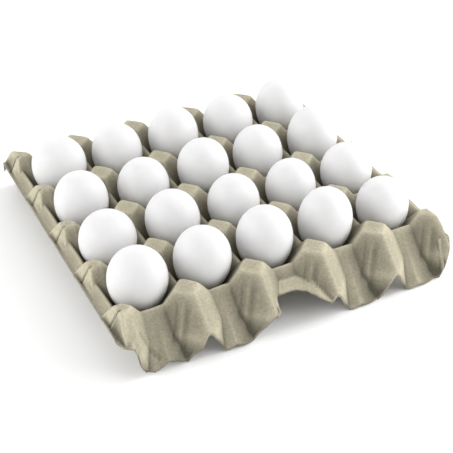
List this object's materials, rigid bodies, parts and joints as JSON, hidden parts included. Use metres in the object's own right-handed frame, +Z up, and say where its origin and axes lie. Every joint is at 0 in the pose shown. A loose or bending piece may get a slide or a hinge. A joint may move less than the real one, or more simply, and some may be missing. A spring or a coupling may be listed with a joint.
{
  "type": "egg tray with eggs",
  "caption": "Moulded pulp egg tray of open cups between capped posts, skirted front and back with finger arches, holding a white hen's egg in every cup.",
  "frame": {"origin": "on the ground under the middle of the tray", "axes": "+X along the longer rows of cups, +Y from the front skirt to the back skirt, +Z up"},
  "size_m": [0.2992, 0.2984, 0.0786],
  "materials": {
    "moulded_pulp": "matt grey-beige moulded paper pulp",
    "eggshell": "white eggshell with a faint satin sheen"
  },
  "bodies": {
    "root": {"tray": "moulded_pulp", "egg_row1_1": "eggshell", "egg_row1_2": "eggshell", "egg_row1_3": "eggshell", "egg_row1_4": "eggshell", "egg_row1_5": "eggshell", "egg_row2_1": "eggshell", "egg_row2_2": "eggshell", "egg_row2_3": "eggshell", "egg_row2_4": "eggshell", "egg_row2_5": "eggshell", "egg_row3_1": "eggshell", "egg_row3_2": "eggshell", "egg_row3_3": "eggshell", "egg_row3_4": "eggshell", "egg_row3_5": "eggshell", "egg_row4_1": "eggshell", "egg_row4_2": "eggshell", "egg_row4_3": "eggshell", "egg_row4_4": "eggshell", "egg_row4_5": "eggshell"}
  },
  "joints": []
}
